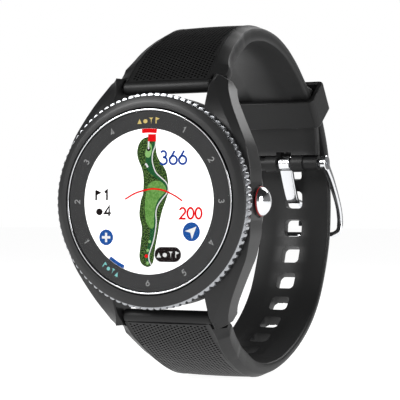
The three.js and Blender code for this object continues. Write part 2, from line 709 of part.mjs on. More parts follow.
// ---------------------------------------------------------------- spring bars
// A tube with a sprung tip sliding in each end.
function springBar(name, y, z, tubeR, tubeHalf, tipReach) {
  const tube = rodX(tubeR, -tubeHalf, tubeHalf, y, z)
    .subtract(rodX(0.62, -tubeHalf - 1, tubeHalf + 1, y, z));
  addPart(`${name}_tube`, tube, steel);
  const tip = rodX(0.5, tubeHalf - 1.6, tipReach, y, z);
  addPart(`${name}_tip_right`, tip, steel);
  addPart(`${name}_tip_left`, mirrorX(tip), steel);
}
springBar('lug_bar_top', BAR_Y, BAR_Z, 0.8, TONGUE_HALF - 0.15, 12.2);
springBar('lug_bar_bottom', BAR_Y, -BAR_Z, 0.8, TONGUE_HALF - 0.15, 12.2);
springBar('buckle_bar', BUCKLE_Y, BUCKLE_Z, 0.85, STRAP_BACK_HALF + 0.1, 10.85);

export default watch;
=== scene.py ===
"""Golf GPS watch: the detailed visual model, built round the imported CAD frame.

Lengths in this file are millimetres until a mesh is made. The watch looks towards -Y, 12 o'clock is +Z and
the button is at +X.
"""
import math

import bpy
import numpy as np
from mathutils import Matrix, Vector


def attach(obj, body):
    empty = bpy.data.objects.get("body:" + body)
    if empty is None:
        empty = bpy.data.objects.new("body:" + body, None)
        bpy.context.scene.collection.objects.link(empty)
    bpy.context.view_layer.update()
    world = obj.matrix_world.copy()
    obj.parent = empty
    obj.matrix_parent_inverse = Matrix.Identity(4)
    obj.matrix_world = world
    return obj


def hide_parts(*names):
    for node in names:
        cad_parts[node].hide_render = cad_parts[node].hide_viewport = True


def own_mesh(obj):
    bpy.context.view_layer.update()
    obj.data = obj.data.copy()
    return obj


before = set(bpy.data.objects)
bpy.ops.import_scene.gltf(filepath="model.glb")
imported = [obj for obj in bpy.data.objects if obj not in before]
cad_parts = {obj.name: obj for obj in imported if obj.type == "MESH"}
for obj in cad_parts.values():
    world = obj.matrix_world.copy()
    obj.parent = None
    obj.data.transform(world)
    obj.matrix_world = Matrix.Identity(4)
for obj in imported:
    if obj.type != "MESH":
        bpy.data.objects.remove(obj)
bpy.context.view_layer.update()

MM = 0.001


# ------------------------------------------------------------------ materials
def new_material(name):
    material = bpy.data.materials.new(name)
    material.use_nodes = True
    nodes = material.node_tree.nodes
    return material, nodes, material.node_tree.links, nodes["Principled BSDF"]


def put(node, values):
    """Sets a shader node's inputs by name."""
    for key, value in values.items():
        node.inputs[key].default_value = value


def noise_node(nodes, links, scale, detail):
    texture = nodes.new("ShaderNodeTexNoise")
    put(texture, {"Scale": scale, "Detail": detail})
    place = nodes.new("ShaderNodeTexCoord")
    links.new(place.outputs["Object"], texture.inputs["Vector"])
    return texture


def ramp_between(nodes, links, factor, low, high, start=0.3, stop=0.7):
    ramp = nodes.new("ShaderNodeValToRGB")
    for element, place, color in zip(ramp.color_ramp.elements, (start, stop), (low, high)):
        element.position = place
        element.color = color
    links.new(factor, ramp.inputs["Fac"])
    return ramp.outputs["Color"]


def range_between(nodes, links, factor, low, high):
    span = nodes.new("ShaderNodeMapRange")
    put(span, {"From Min": 0.3, "From Max": 0.7, "To Min": low, "To Max": high})
    links.new(factor, span.inputs["Value"])
    return span.outputs["Result"]


def surface(name, color, roughness, metallic=0.0, mottle=0.12, patch=9.0, grain=0.25, bump=0.15,
            rough_change=0.06, coat=0.0, specular=0.5, glow=0.0):
    """A moulded, painted or polished surface. patch and grain are the sizes, in mm, of its slow colour
    change and of its fine relief."""
    material, nodes, links, shader = new_material(name)
    slow = noise_node(nodes, links, 1 / (patch * MM), 3.0)
    low = tuple(c * (1 - mottle) for c in color) + (1.0,)
    high = tuple(min(1.0, c * (1 + mottle)) for c in color) + (1.0,)
    tint = ramp_between(nodes, links, slow.outputs["Fac"], low, high)
    links.new(tint, shader.inputs["Base Color"])
    fine = noise_node(nodes, links, 1 / (grain * MM), 2.0)
    links.new(
        range_between(nodes, links, fine.outputs["Fac"], roughness - rough_change, roughness + rough_change),
        shader.inputs["Roughness"],
    )
    relief = nodes.new("ShaderNodeBump")
    put(relief, {"Strength": bump, "Distance": 0.03 * MM})
    links.new(fine.outputs["Fac"], relief.inputs["Height"])
    links.new(relief.outputs["Normal"], shader.inputs["Normal"])
    put(shader, {"Metallic": metallic, "Coat Weight": coat, "Specular IOR Level": specular})
    if glow:
        links.new(tint, shader.inputs["Emission Color"])
        shader.inputs["Emission Strength"].default_value = glow
    return material


def gray(level):
    return (level, level * 1.005, level * 1.02)


CASE = surface("case_plastic", gray(0.016), 0.36, mottle=0.06, grain=0.12, bump=0.06, specular=0.30)
# Painted shade: near-black for the faces inside each pit of the strap, standing in for the shade that falls
# there.
PIT_SHADE = surface("strap_pits_painted_shade", gray(0.002), 0.8, mottle=0.08, grain=0.16, bump=0.0, specular=0.02)
BEZEL = surface("bezel_plastic", gray(0.022), 0.34, mottle=0.05, grain=0.10, bump=0.05, specular=0.32)
RUBBER = surface("strap_rubber", gray(0.013), 0.44, mottle=0.08, grain=0.16, bump=0.08, specular=0.26)
COIN = surface("coin_steel", (0.40, 0.41, 0.43), 0.26, metallic=1.0, mottle=0.03, grain=0.3, bump=0.02,
               rough_change=0.03)
CHROME = surface("polished_steel", (0.82, 0.83, 0.85), 0.10, metallic=1.0, mottle=0.02, grain=0.5,
                 bump=0.02, rough_change=0.03)
STEEL = surface("satin_steel", (0.55, 0.56, 0.58), 0.34, metallic=1.0, mottle=0.06, grain=0.08, bump=0.10)
# The dial ring's face glows faintly: painted light, as the ring gives off no light of its own.
DIAL = surface("dial_print_painted_glow", gray(0.034), 0.6, mottle=0.03, grain=0.1, bump=0.0, specular=0.1, glow=0.2)
SCREEN = surface("screen_white", (0.93, 0.93, 0.93), 0.4, mottle=0.004, grain=0.05, bump=0.0,
                 specular=0.1, glow=0.75)
BLACK = surface("black_plastic", gray(0.012), 0.5, grain=0.1)
BACK = surface("back_plate", gray(0.040), 0.32, mottle=0.06, grain=0.12, bump=0.06)
SEAL = surface("seal_rubber", gray(0.008), 0.6, grain=0.1)
RED = surface("accent_red", (0.32, 0.006, 0.008), 0.35, mottle=0.1, coat=0.3)
GOLD = surface("gold_plating", (0.80, 0.58, 0.22), 0.22, metallic=1.0, mottle=0.05, bump=0.04)
BOARD = surface("solder_mask", (0.015, 0.10, 0.04), 0.35, mottle=0.3, patch=1.5, grain=0.3, bump=0.3)
FILM = surface("amber_film", (0.45, 0.19, 0.04), 0.3, mottle=0.15, coat=0.3)
FOIL = surface("cell_foil", (0.62, 0.63, 0.65), 0.38, metallic=1.0, mottle=0.06, grain=0.5, bump=0.3)
CERAMIC = surface("aerial_ceramic", (0.62, 0.56, 0.44), 0.6, mottle=0.1, patch=1.0)


def printed(name, color, glow=2.4):
    """A lit colour: a dim base, most of the colour given off. On the screen it is the screen's own light; on
    the dial ring's print it is a painted glow, as the ring is no lamp.
    """
    base = tuple(c * 0.3 for c in color)
    return surface("screen_" + name, base, 0.5, mottle=0.03, patch=0.5, grain=0.05, bump=0.0,
                   specular=0.03, glow=glow)


def turf(name, dark, light, size, start, stop, glow=2.4):
    """Speckled ground on the map: two greens in small blots."""
    material, nodes, links, shader = new_material("screen_" + name)
    blots = noise_node(nodes, links, 1 / (size * MM), 2.0)
    dim = [tuple(c * 0.3 for c in shade) + (1,) for shade in (dark, light)]
    tint = ramp_between(nodes, links, blots.outputs["Fac"], *dim, start, stop)
    links.new(tint, shader.inputs["Base Color"])
    links.new(tint, shader.inputs["Emission Color"])
    put(shader, {"Emission Strength": glow, "Roughness": 0.5, "Specular IOR Level": 0.03})
    return material


def clear_glass():
    material, nodes, links, shader = new_material("cover_glass")
    smear = noise_node(nodes, links, 1 / (6 * MM), 3.0)
    links.new(range_between(nodes, links, smear.outputs["Fac"], 0.03, 0.07), shader.inputs["Roughness"])
    put(shader, {"Base Color": (0.02, 0.02, 0.022, 1.0), "Alpha": 0.05})
    return material


# ------------------------------------------------------------------ mesh helpers
def new_object(name, data):
    made = bpy.data.objects.new(name, data)
    bpy.context.scene.collection.objects.link(made)
    return made


def new_mesh(name, vertices, faces):
    mesh = bpy.data.meshes.new(name)
    mesh.from_pydata([(x * MM, y * MM, z * MM) for x, y, z in vertices], [], faces)
    return mesh


def aim(thing, direction):
    """Turns a camera or a light to look along a direction."""
    thing.rotation_mode = "QUATERNION"
    thing.rotation_quaternion = direction.to_track_quat("-Z", "Y")


def add_mesh(name, vertices, faces, material, body, slot, replaces=(), sharp=32.0, weighted=True):
    mesh = new_mesh(name, vertices, faces)
    mesh.validate()
    mesh.materials.append(material)
    piece = new_object(name, mesh)
    outward(mesh)
    mesh.shade_smooth()
    mesh.set_sharp_from_angle(angle=math.radians(sharp))
    if weighted:
        normals = piece.modifiers.new("normals", "WEIGHTED_NORMAL")
        normals.keep_sharp = True
        normals.weight = 60
    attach(piece, body)
    if replaces:
        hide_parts(*replaces)
    return piece


def outward(mesh):
    """Turns a closed mesh's faces out."""
    import bmesh
    working = bmesh.new()
    working.from_mesh(mesh)
    bmesh.ops.recalc_face_normals(working, faces=working.faces)
    working.to_mesh(mesh)
    working.free()


def settle(piece):
    """Applies the piece's modifiers to its mesh."""
    graph = bpy.context.evaluated_depsgraph_get()
    done = bpy.data.meshes.new_from_object(piece.evaluated_get(graph))
    piece.modifiers.clear()
    piece.data = done


def combine(target, others, operation):
    """Joins or cuts closed meshes, then removes the others."""
    for other in others:
        step = target.modifiers.new("cut", "BOOLEAN")
        step.operation = operation
        step.object = other
        step.solver = "MANIFOLD"
        settle(target)
        bpy.data.objects.remove(other)


def bare(name, vertices, faces, shaded_faces=()):
    """A mesh object used only to cut or join. The faces in shaded_faces take the piece's other material, a
    near-black painted shade for each pit.
    """
    mesh = new_mesh(name, vertices, faces)
    if shaded_faces:
        mesh.materials.append(RUBBER)
        mesh.materials.append(PIT_SHADE)
        for face in shaded_faces:
            mesh.polygons[face].material_index = 1
    outward(mesh)
    return new_object(name, mesh)


def as_lists(piece):
    """The vertices, in mm, and faces of a shape made with bare, which is then removed."""
    vertices = [tuple(c / MM for c in v.co) for v in piece.data.vertices]
    faces = [tuple(p.vertices) for p in piece.data.polygons]
    bpy.data.objects.remove(piece)
    return vertices, faces


def skin(rings, closed_run=False):
    """Vertices and faces of a closed skin over rings of equal length. The ends are capped unless closed."""
    rings = [list(r) for r in rings]
    width = len(rings[0])
    vertices = [p for r in rings for p in r]
    faces = []
    steps = len(rings) if closed_run else len(rings) - 1
    for i in range(steps):
        a, b = i * width, ((i + 1) % len(rings)) * width
        for j in range(width):
            k = (j + 1) % width
            faces.append((a + j, a + k, b + k, b + j))
    if not closed_run:
        faces.append(tuple(range(width)))
        faces.append(tuple(range(len(vertices) - width, len(vertices)))[::-1])
    return vertices, faces


def turned(profile, segments=160, about="Y", centre=(0.0, 0.0, 0.0)):
    """A closed ring or disc from (radius, height) corners."""
    rings = []
    for i in range(segments):
        angle = 2 * math.pi * i / segments
        c, s = math.cos(angle), math.sin(angle)
        ring = []
        for r, h in profile:
            point = (r * c, h, r * s) if about == "Y" else (h, r * c, r * s)
            ring.append(tuple(p + o for p, o in zip(point, centre)))
        rings.append(ring)
    return skin(rings, closed_run=True)


def rounded_corners(profile, cut):
    """Each corner of a profile cut back by a small flat on both sides."""
    made = []
    count = len(profile)
    for i, point in enumerate(profile):
        before, after = profile[i - 1], profile[(i + 1) % count]
        for other in (before, after):
            dx, dy = other[0] - point[0], other[1] - point[1]
            length = math.hypot(dx, dy)
            t = min(cut, length * 0.45) / length
            made.append((point[0] + dx * t, point[1] + dy * t))
    return made


def run_along(line):
    """The distance along a line at each of its points."""
    return np.concatenate([[0], np.cumsum(np.linalg.norm(np.diff(line, axis=0), axis=1))])


def smooth_line(points, count):
    """count points, evenly spread, on a smooth curve through the given ones."""
    points = np.array(points, float)
    ends = np.vstack([2 * points[0] - points[1], points, 2 * points[-1] - points[-2]])
    made = []
    for i in range(1, len(ends) - 2):
        p0, p1, p2, p3 = ends[i - 1:i + 3]
        for t in np.linspace(0, 1, 24, endpoint=False):
            made.append(0.5 * (2 * p1 + (p2 - p0) * t + (2 * p0 - 5 * p1 + 4 * p2 - p3) * t ** 2
                               + (3 * p1 - p0 - 3 * p2 + p3) * t ** 3))
    made.append(ends[-2])
    made = np.array(made)
    run = run_along(made)
    at = np.linspace(0, run[-1], count)
    return np.stack([np.interp(at, run, made[:, k]) for k in range(made.shape[1])], axis=1)


def box_mesh(x0, x1, y0, y1, z0, z1):
    vertices = [(x, y, z) for x in (x0, x1) for y in (y0, y1) for z in (z0, z1)]
    faces = [(0, 1, 3, 2), (4, 6, 7, 5), (0, 4, 5, 1), (2, 3, 7, 6), (0, 2, 6, 4), (1, 5, 7, 3)]
    return vertices, faces


def bevelled(piece, width, segments=2, angle=30.0):
    """Rounds the piece's edges, ahead of its weighted normals."""
    bevel = piece.modifiers.new("edges", "BEVEL")
    bevel.width = width * MM
    bevel.segments = segments
    bevel.limit_method = "ANGLE"
    bevel.angle_limit = math.radians(angle)
    bevel.harden_normals = False
    for i, modifier in enumerate(piece.modifiers):
        if modifier.type == "WEIGHTED_NORMAL":
            piece.modifiers.move(len(piece.modifiers) - 1, i)
            break


# ------------------------------------------------------------------ case and lugs
LUG_GAP = 11.15  # half the gap between two lugs
LUG_BAR_Y, LUG_BAR_Z = -2.2, 25.0
BUTTON_Y, BUTTON_FACE_X = -4.4, 23.5
LUG_LEVELS = [
    # z, inner front y, front facet's outer x and y, side facet's front x and y, its back y, inner corner cut
    (0, -8.95, 20.4, -8.75, 22.6, -8.45, -2.4, 0.27),
    (7, -8.95, 20.3, -8.75, 22.5, -8.45, -2.5, 0.27),
    (12, -8.95, 19.4, -8.75, 21.5, -8.40, -3.0, 0.27),
    (14, -8.95, 18.6, -8.70, 20.65, -8.25, -3.25, 0.27),
    (16, -8.85, 17.7, -8.45, 19.63, -7.85, -2.9, 0.27),
    (18, -8.45, 16.55, -7.95, 18.58, -7.25, -2.5, 0.27),
    (20, -7.75, 15.3, -7.15, 17.5, -6.55, -1.9, 0.27),
    (22, -6.90, 14.1, -6.20, 16.48, -5.60, -1.4, 0.27),
    (24, -5.90, 12.9, -5.15, 15.45, -4.30, 0.3, 0.27),
    (25.2, -5.35, 12.15, -4.95, 14.88, -3.30, 1.9, 0.27),
    (26.2, -4.70, 12.1, -4.30, 14.6, -2.40, 2.1, 0.75),
    (27.7, -3.55, 12.7, -3.05, 14.2, -0.70, 2.1, 1.4),
]
LUG_END = [(-20, 27.66), (-4, 27.6), (-0.2, 27.1), (1.8, 24.5), (3.2, 22.4)]


def soft_values(table, z):
    """A row of the table at a height, its corners eased over a short span."""
    table = np.array(table, float)
    spans = [min(max(z + shift, table[0, 0]), table[-1, 0]) for shift in (-0.9, -0.45, 0.0, 0.45, 0.9)]
    return [float(np.mean(np.interp(spans, table[:, 0], table[:, k]))) for k in range(1, table.shape[1])]


def prism_x(outline, x0, x1):
    """A closed prism along X over a (y, z) outline."""
    return skin([[(x, y, z) for y, z in outline] for x in (x0, x1)])


def lug_vertices(flip_x, flip_z):
    rings = []
    for z in np.linspace(0, 27.7, 42):
        front, facet_x, facet_y, outer, outer_y, side_back, corner = soft_values(LUG_LEVELS, z)
        back = max(1.1, side_back + 0.3)
        section = [
            (LUG_GAP, front + corner * 1.2),
            (LUG_GAP + corner, front),
            (facet_x, facet_y),
            (outer, outer_y),
            (outer, side_back),
            (max(outer - 0.7 * (back - side_back), LUG_GAP + 0.6), back),
            (LUG_GAP, back),
        ]
        section = rounded_corners(section, 0.11)
        rings.append([(x * flip_x, y, z * flip_z) for x, y in section])
    return skin(rings)


def lug_end_space(flip_x, flip_z):
    """The space beyond a lug's slanted end, which also falls a little outwards."""
    rings = []
    for x, fall in ((10.9, -0.1), (12.8, 0.05), (17.0, 2.6)):
        outline = LUG_END + [(30, LUG_END[-1][1]), (30, 60), (-20, 60)]
        rings.append([(x * flip_x, y, (z - fall) * flip_z) for y, z in outline])
    return skin(rings)


def build_case():
    profile = rounded_corners([
        (17.6, -7.6), (16.9, -7.6), (16.9, -9.0), (22.8, -9.0), (22.9, -8.7), (22.9, -2.4), (22.0, 0.0),
        (21.0, 0.0), (21.0, -1.4), (17.6, -1.4),
    ], 0.12)
    case = bare("case_body", *turned(profile, 192))
    corners = [(fx, fz) for fx in (1, -1) for fz in (1, -1)]
    lugs = [bare("lug", *lug_vertices(*flips)) for flips in corners]
    bores = bare("bore", *turned([(0.01, -20), (16.9, -20), (16.9, -7.6), (17.6, -7.6), (17.6, -1.4),
                                  (21.0, -1.4), (21.0, 5), (0.01, 5)], 192))
    for lug, flips in zip(lugs, corners):
        combine(lug, [copy_of(bores), bare("beyond", *lug_end_space(*flips))], "DIFFERENCE")
    combine(case, lugs, "UNION")
    bpy.data.objects.remove(bores)
    seat = bare("seat", *turned([(0.01, 22.35), (3.5, 22.35), (3.5, 30), (0.01, 30)], 64, "X",
                                (0, BUTTON_Y, 0)))
    combine(case, [seat], "DIFFERENCE")
    add_mesh("case_body", *as_lists(case), CASE, "case", "case_plastic", ["mid_case"], sharp=28)


def copy_of(piece):
    other = piece.copy()
    other.data = piece.data.copy()
    bpy.context.scene.collection.objects.link(other)
    return other


# ------------------------------------------------------------------ bezel, coin edge, trim, glass
def build_bezel():
    profile = [(20.2, -9.3), (20.9, -9.3), (20.9, -11.0), (22.5, -11.0), (22.68, -11.07), (22.77, -11.25),
               (22.75, -11.48), (22.62, -11.66), (21.66, -12.02), (21.42, -12.1), (21.2, -12.14),
               (20.38, -12.2), (20.27, -12.19), (20.2, -12.1)]
    add_mesh("bezel_ring", *turned(profile, 256), BEZEL, "case", "case_plastic", ["bezel"], sharp=40)


def build_coin_edge():
    """A toothed ring with a plain narrow rim in front of its teeth."""
    teeth, per_tooth = 90, 12
    rings = []
    for i in range(teeth * per_tooth):
        angle = 2 * math.pi * i / (teeth * per_tooth)
        share = (i % per_tooth) / per_tooth
        lobe = min(1.0, 3.2 * min(share, 1 - share))
        c, s = math.cos(angle), math.sin(angle)
        root, tip = 22.82, 23.32
        r = root + (tip - root) * lobe
        soft = root + (tip - root) * lobe * 0.94
        profile = [(21.2, -9.35), (soft, -9.35), (r, -9.45), (r, -10.72), (soft - 0.02, -10.84),
                   (22.80, -10.9), (22.72, -10.96), (21.2, -10.97)]
        rings.append([(q * c, y, q * s) for q, y in profile])
    add_mesh("coin_edge", *skin(rings, closed_run=True), COIN, "case", "polished_metal",
             ["coin_edge_ring"], sharp=45, weighted=False)


def build_trim():
    profile = [(19.55, -9.3), (19.9, -9.3), (19.9, -12.2), (19.85, -12.28), (19.78, -12.31),
               (19.66, -12.31), (19.59, -12.28), (19.55, -12.2)]
    add_mesh("trim_line", *turned(profile, 256), CHROME, "case", "polished_metal", ["trim_ring"], sharp=50)


def build_glass():
    profile = [(0.01, -12.2), (19.1, -12.2), (19.28, -12.17), (19.35, -12.1), (19.35, -12.08),
               (0.01, -12.08)]
    add_mesh("glass_disc", *turned(profile, 128), clear_glass(), "case", "glass", ["cover_glass"])


# ------------------------------------------------------------------ dial and screen
PRINT_Y = -12.02


def build_dial():
    add_mesh("dial_face", *turned([(15.64, -12.0), (19.35, -12.0), (19.35, -11.0), (15.64, -11.0)], 192),
             DIAL, "case", "dial", ["dial_ring"])
    add_mesh("screen_panel", *turned([(0.01, -12.0), (15.64, -12.0), (15.64, -9.2), (0.01, -9.2)], 192),
             SCREEN, "case", "display", ["display_panel"])


class Print:
    """Flat shapes on the screen, gathered into one thin closed mesh per colour."""

    def __init__(self, name, material, layer=1, slot="display"):
        self.name, self.material, self.slot = name, material, slot
        self.front = PRINT_Y - 0.006 * layer
        self.vertices, self.faces = [], []

    def fill(self, outline):
        """A filled outline of (x, z) points."""
        n, base = len(outline), len(self.vertices)
        for y in (self.front, self.front + 0.02):
            self.vertices += [(x, y, z) for x, z in outline]
        self.faces.append(tuple(range(base, base + n)))
        self.faces.append(tuple(range(base + n, base + 2 * n))[::-1])
        for i in range(n):
            j = (i + 1) % n
            self.faces.append((base + i, base + j, base + n + j, base + n + i))

    def stroke(self, points, width, closed=False):
        """A line of (x, z) points with a width."""
        points = np.array(points, float)
        if closed:
            before, after = np.roll(points, 1, axis=0), np.roll(points, -1, axis=0)
        else:
            before = np.vstack([2 * points[0] - points[1], points[:-1]])
            after = np.vstack([points[1:], 2 * points[-1] - points[-2]])
        d0, d1 = points - before, after - points
        d0 /= np.linalg.norm(d0, axis=1)[:, None]
        d1 /= np.linalg.norm(d1, axis=1)[:, None]
        n0 = np.stack([-d0[:, 1], d0[:, 0]], axis=1)
        n1 = np.stack([-d1[:, 1], d1[:, 0]], axis=1)
        mitre = n0 + n1
        mitre /= np.maximum(np.sum(mitre * n1, axis=1), 0.35)[:, None]
        left, right = points + mitre * width / 2, points - mitre * width / 2
        base, n = len(self.vertices), len(points)
        for y in (self.front, self.front + 0.02):
            for side in (left, right):
                self.vertices += [(x, y, z) for x, z in side]
        steps = n if closed else n - 1
        for i in range(steps):
            j = (i + 1) % n
            fl, fr, bl, br = base, base + n, base + 2 * n, base + 3 * n
            self.faces += [(fl + i, fl + j, fr + j, fr + i), (bl + i, br + i, br + j, bl + j),
                           (fl + i, bl + i, bl + j, fl + j), (fr + i, fr + j, br + j, br + i)]
        if not closed:
            for i in (0, n - 1):
                self.faces.append((fl + i, fr + i, br + i, bl + i))

    def disc(self, x, z, r, rz=None, count=28):
        self.fill([(x + r * math.cos(a), z + (rz or r) * math.sin(a)) for a in turns(count)])

    def done(self):
        add_mesh(self.name, self.vertices, self.faces, self.material, "case", self.slot, weighted=False,
                 sharp=30)


# The four corners of a rounded rectangle: the signs of x and y, and the angle its round starts at.
QUARTERS = ((1, 1, 0), (-1, 1, 90), (-1, -1, 180), (1, -1, 270))


def turns(count, start=0.0, stop=360.0):
    full = abs(stop - start) >= 360
    return [math.radians(a) for a in np.linspace(start, stop, count, endpoint=not full)]


def arc(x, z, rx, rz, start, stop, count=16):
    return [(x + rx * math.cos(a), z + rz * math.sin(a)) for a in turns(count, start, stop)]


GLYPH_WIDTH = 0.62


def glyph_lines(name):
    """Lines of a digit or picture in a cell 1 high: a list of (points, closed), where closed is also
    "fill" for a filled shape."""
    w = GLYPH_WIDTH
    m = w / 2
    if name == "0":
        return [(arc(m, 0.5, m, 0.5, 0, 360, 32), True)]
    if name == "1":
        return [([(0.12, 0.78), (0.36, 1.0), (0.36, 0.0)], False)]
    if name == "2":
        return [(arc(m, 0.70, 0.28, 0.30, 165, -28, 16) + [(0.03, 0.0), (w, 0.0)], False)]
    if name == "3":
        return [(arc(0.27, 0.755, 0.23, 0.245, 150, -90, 16), False),
                (arc(0.27, 0.27, 0.29, 0.27, 100, -150, 18), False)]
    if name == "4":
        return [([(0.46, 0.0), (0.46, 1.0), (0.0, 0.27), (0.64, 0.27)], False)]
    if name == "5":
        return [([(0.55, 1.0), (0.14, 1.0), (0.08, 0.56)] + arc(0.27, 0.32, 0.29, 0.32, 112, -145, 16),
                 False)]
    if name == "6":
        return [(arc(m, 0.31, 0.30, 0.31, 0, 360, 28), True), ([(0.07, 0.42), (0.42, 1.0)], False)]
    if name == "flag":
        return [([(0.14, 0.0), (0.14, 1.0)], False), ([(0.1, 1.08), (0.72, 0.78), (0.1, 0.48)], "fill")]
    if name == "ball":
        return [(arc(0.31, 0.42, 0.34, 0.34, 0, 360, 24)[:-1], "fill")]
    if name == "tee":
        return [([(-0.02, 1.0), (0.64, 1.0), (0.38, 0.7), (0.31, -0.05), (0.24, 0.7)], "fill")]
    if name == "hill":
        return [([(-0.04, 0.0), (0.3, 0.82), (0.66, 0.0)], "fill")]
    raise ValueError(name)


def write(ink, glyphs, x, z, height, width, spacing=0.22, angle=0.0, stretch=1.0):
    """Glyphs in a row centred on (x, z). angle turns the row, in degrees, clockwise."""
    cell = GLYPH_WIDTH
    total = len(glyphs) * cell + (len(glyphs) - 1) * spacing
    c, s = math.cos(math.radians(angle)), math.sin(math.radians(angle))
    for i, name in enumerate(glyphs):
        for points, closed in glyph_lines(name):
            placed = []
            for u, v in points:
                along = (u + i * (cell + spacing) - total / 2) * height * stretch
                up = (v - 0.5) * height
                placed.append((x + along * c + up * s, z - along * s + up * c))
            if closed == "fill":
                ink.fill(placed)
            else:
                ink.stroke(placed, width, closed)


def build_numbers():
    # The dial's numbers and marks glow: painted light, as the dial ring is printed and not lit from within.
    ink = Print("dial_numbers", printed("dial_grey_painted_glow", (0.30, 0.30, 0.30)), slot="dial")
    for number, hour in (("1", 1), ("2", 2), ("3", 3), ("4", 4), ("5", 5), ("6", 6), ("1", 8), ("2", 9),
                         ("3", 10), ("4", 11)):
        clock = hour * 30
        angle = clock if abs(clock - 180) > 61 or clock == 120 else clock + 180
        a = math.radians(clock)
        write(ink, [number], 17.45 * math.sin(a), 17.45 * math.cos(a), 1.22, 0.24, angle=angle)
    ink.done()
    top = Print("dial_top_mark", printed("dial_yellow_painted_glow", (0.72, 0.56, 0.20)), slot="dial")
    write(top, ["hill", "ball", "tee", "flag"], 0.15, 17.3, 1.28, 0.22, spacing=0.34, stretch=1.15)
    top.done()
    low = Print("dial_low_mark", printed("dial_teal_painted_glow", (0.24, 0.62, 0.60)), slot="dial")
    for i, name in enumerate(["flag", "ball", "tee", "hill"]):
        a = math.radians(217.5 - i * 3.95)
        write(low, [name], 17.35 * math.sin(a), 17.35 * math.cos(a), 1.2, 0.2,
              angle=math.degrees(a) - 180)
    low.done()


STRIP_LEFT = [(0.4, 13.85), (-1.02, 13.54), (-2.04, 12.49), (-2.5, 11.2), (-2.55, 10.0), (-2.2, 8.8),
              (-1.6, 7.5), (-1.2, 6.3), (-1.02, 4.95), (-1.02, 3.5), (-1.15, 1.4), (-1.45, 0.9),
              (-1.83, -0.8), (-2.03, -2.9), (-1.73, -4.3), (-1.42, -5.5), (-1.42, -6.9), (-1.62, -8.3),
              (-1.85, -10.1), (-2.03, -11.5), (-1.82, -12.8), (-1.2, -13.65), (-0.2, -14.06)]
STRIP_RIGHT = [(0.4, 13.85), (1.2, 13.3), (1.9, 12.5), (2.0, 11.3), (2.25, 9.9), (3.0, 8.5), (4.0, 7.2),
               (4.55, 6.1), (4.85, 4.7), (5.03, 3.3), (5.08, 2.0), (4.7, 1.1), (4.2, -0.3), (3.6, -1.7),
               (3.2, -3.1), (2.8, -4.7), (2.6, -6.1), (2.3, -7.5), (2.0, -9.0), (1.7, -10.7), (1.5, -12.2),
               (1.2, -13.3), (0.5, -13.95), (-0.2, -14.06)]
PATH = [(2.0, 12.9), (1.8, 11.7), (1.3, 10.6), (1.1, 9.2), (1.3, 7.8), (2.0, 6.2), (3.2, 5.1), (4.3, 4.2),
        (4.85, 3.3), (4.95, 2.4), (4.5, 1.6), (3.4, 0.4), (2.4, -1.0), (2.0, -2.5), (2.1, -4.3),
        (1.9, -6.1), (1.6, -7.7), (1.2, -9.1), (0.6, -10.6), (0.3, -11.6), (0.4, -12.7), (0.9, -13.6)]
FAIRWAY = [(2.2, 4.4), (1.0, 4.2), (0.2, 3.5), (-0.2, 2.4), (-0.45, 1.4), (-0.7, -1.1), (-0.55, -3.0),
           (-0.35, -4.4), (0.2, -5.3), (1.0, -5.85), (1.5, -5.4), (1.6, -2.9), (2.0, -0.8), (2.8, 0.65),
           (4.2, 1.9), (4.5, 2.6), (4.1, 3.4), (3.3, 4.15)]
GREEN = [(0.45, 12.6), (1.0, 11.7), (0.85, 10.2), (0.4, 9.45), (-0.3, 9.5), (-0.62, 10.1), (-0.3, 11.4),
         (0.1, 12.3)]


def closed_curve(points, count):
    """count points, evenly spread, on a smooth closed curve through the given ones."""
    looped = list(points[-2:]) + list(points) + list(points[:3])
    dense = smooth_line(looped, count * 4)
    first = int(np.argmin(np.linalg.norm(dense[:count] - np.array(points[0]), axis=1)))
    tail = dense[3 * count:]
    last = 3 * count + int(np.argmin(np.linalg.norm(tail - np.array(points[0]), axis=1)))
    return [tuple(p) for p in dense[first:last:4]]


def strip(ink, left, right):
    """Fills between a left line and a right one, which meet at both ends."""
    left, right = smooth_line(left, 60), smooth_line(right, 60)
    ink.fill([tuple(p) for p in left] + [tuple(p) for p in right[::-1][1:-1]])


